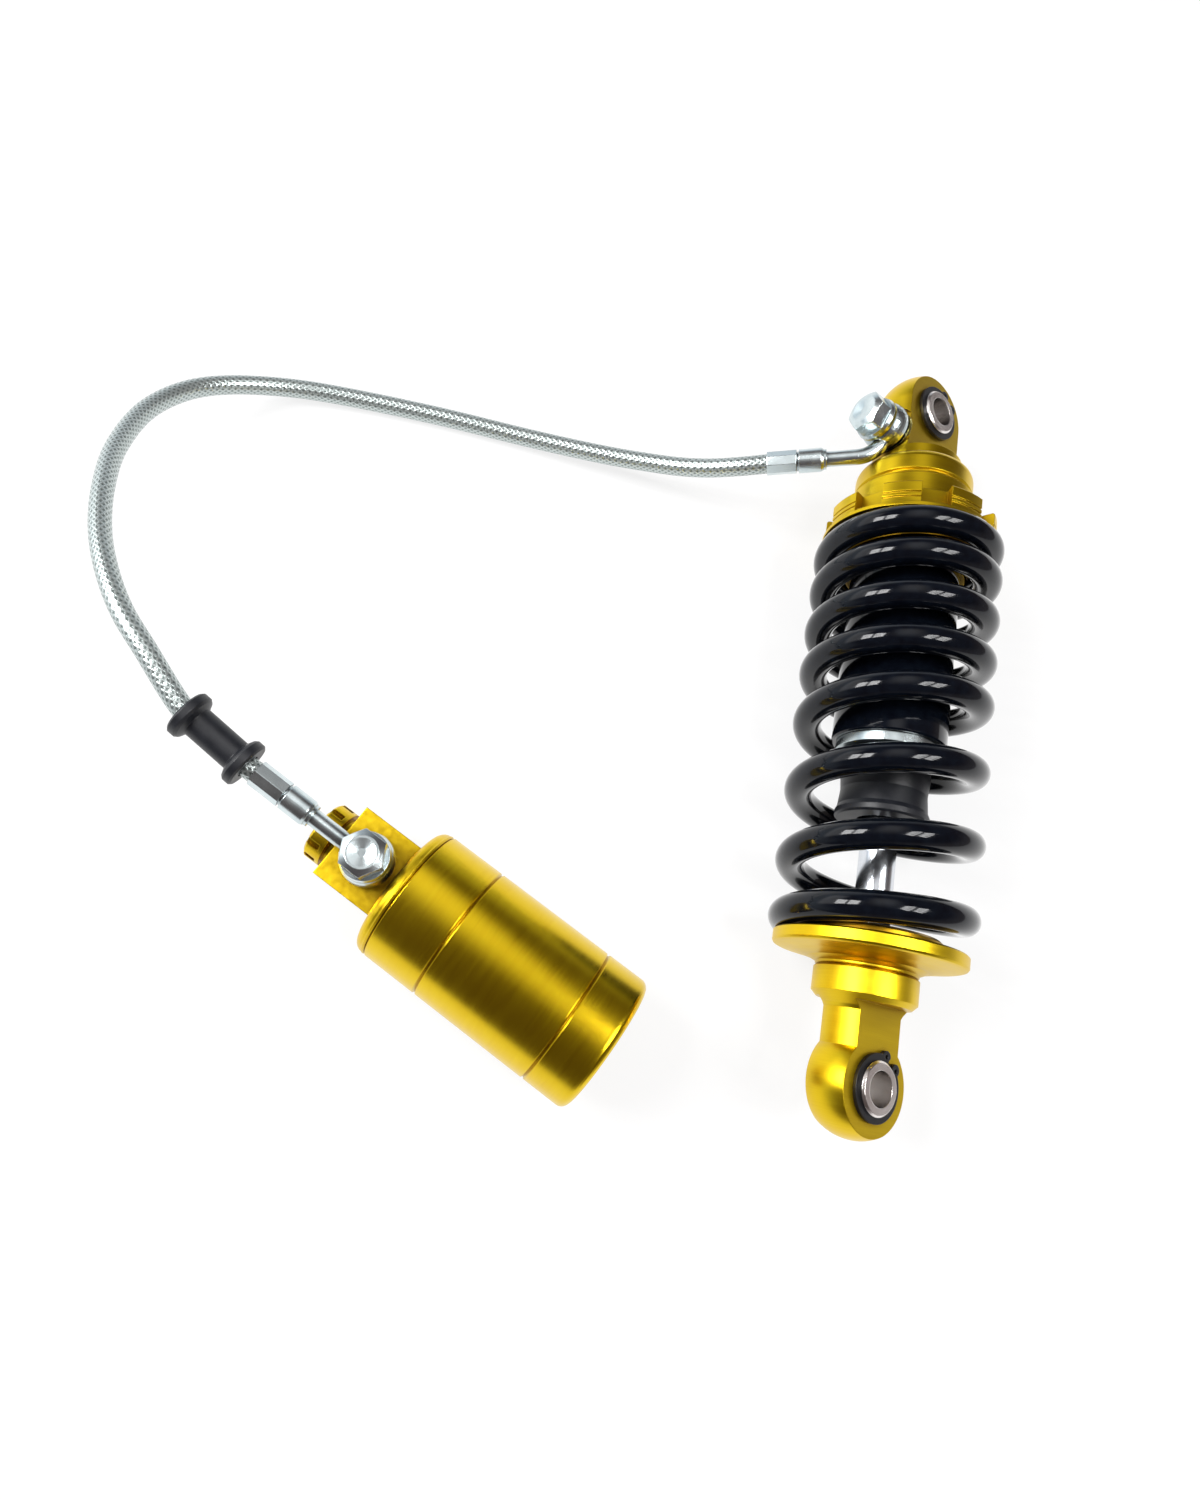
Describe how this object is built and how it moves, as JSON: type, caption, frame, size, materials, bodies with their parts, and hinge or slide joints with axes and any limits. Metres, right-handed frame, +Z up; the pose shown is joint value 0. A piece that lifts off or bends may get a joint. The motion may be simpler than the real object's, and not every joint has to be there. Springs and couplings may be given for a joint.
{
  "type": "coilover shock absorber",
  "caption": "Coil-over shock absorber with an eye at each end, a castellated preload ring, a dual-rate spring and a remote gas reservoir on a braided hose.",
  "frame": {"origin": "centre of the lower eye's bolt hole", "axes": "+Y up the shock axis from the lower eye to the upper eye, +Z up from the table the part lies on, +X to the right, away from the reservoir"},
  "size_m": [0.2946, 0.2632, 0.0603],
  "materials": {
    "gold": "gold anodised, fine turning marks",
    "black_coat": "gloss black powder coat",
    "zinc": "bright zinc plate",
    "steel": "turned and polished",
    "chrome": "hard chrome, polished",
    "yellow_zinc": "yellow passivated",
    "rubber": "moulded",
    "polymer": "moulded",
    "braid": "woven wire under a clear cover"
  },
  "bodies": {
    "damper_body": {"top_cap": "gold", "damper_tube": "black_coat", "seal_head": "steel", "rod_seal": "rubber", "rod_wiper": "rubber", "upper_bush": "polymer", "upper_banjo_bolt": "zinc", "upper_banjo_washers": "yellow_zinc", "upper_banjo_fitting": "zinc", "hose": "braid", "hose_bobbin": "rubber", "reservoir_banjo_fitting": "zinc", "reservoir_banjo_bolt": "zinc", "reservoir_banjo_washers": "yellow_zinc", "reservoir_cap": "gold", "cap_o_ring": "rubber", "reservoir_can": "gold", "reservoir_end_cap": "gold", "end_circlip": "steel", "gas_valve": "steel", "valve_cap": "black_coat", "spring": "black_coat", "bump_stop": "rubber"},
    "lower_body": {"shaft": "chrome", "piston": "steel", "piston_band": "polymer", "piston_nut": "zinc", "lower_perch": "gold", "jam_nut": "zinc", "lower_eye": "gold", "lower_bush": "polymer"},
    "upper_sleeve_body": {"upper_sleeve": "steel", "upper_circlips": "black_coat"},
    "lower_sleeve_body": {"lower_sleeve": "steel", "lower_circlips": "black_coat"},
    "preload_seat": {"upper_seat": "gold"},
    "preload_nut": {"preload_ring": "gold"},
    "adjuster": {"adjuster_knob": "gold", "adjuster_needle": "steel"},
    "gas_piston": {"floating_piston": "steel", "floating_o_ring": "rubber"}
  },
  "joints": [
    {"name": "damper_slide", "type": "slide", "parent": "damper_body", "child": "lower_body", "axis": [0, 1, 0], "range_m": [0, 0.033], "stiffness_N_per_m": 72000, "springref_m": -0.004, "deforming": ["spring"]},
    {"name": "preload_turn", "type": "hinge", "parent": "preload_seat", "child": "preload_nut", "pos_m": [0, 0.178, 0], "axis": [0, -1, 0], "range_deg": [0, 1440]},
    {"name": "preload_slide", "type": "slide", "parent": "damper_body", "child": "preload_seat", "axis": [0, -1, 0], "range_m": [0, 0.006], "deforming": ["spring"]},
    {"name": "adjuster_turn", "type": "hinge", "parent": "damper_body", "child": "adjuster", "pos_m": [-0.16123, 0.0391, -0.00875], "axis": [0.9048, -0.4258, 0], "range_deg": [0, 720]},
    {"name": "gas_piston_slide", "type": "slide", "parent": "damper_body", "child": "gas_piston", "axis": [0.9048, -0.4258, 0], "range_m": [0, 0.0035]},
    {"name": "upper_eye_turn", "type": "hinge", "parent": "damper_body", "child": "upper_sleeve_body", "pos_m": [0, 0.226, 0], "axis": [0.5299, 0, 0.848], "range_deg": [-30, 30]},
    {"name": "lower_eye_turn", "type": "hinge", "parent": "lower_body", "child": "lower_sleeve_body", "pos_m": [0, 0, 0], "axis": [0.5299, 0, 0.848], "range_deg": [-30, 30]}
  ],
  "couplings": [
    {"joint": "preload_slide", "follows": "preload_turn", "m_per_rad": 0.00023873},
    {"joint": "gas_piston_slide", "follows": "damper_slide", "ratio": 0.09336}
  ]
}
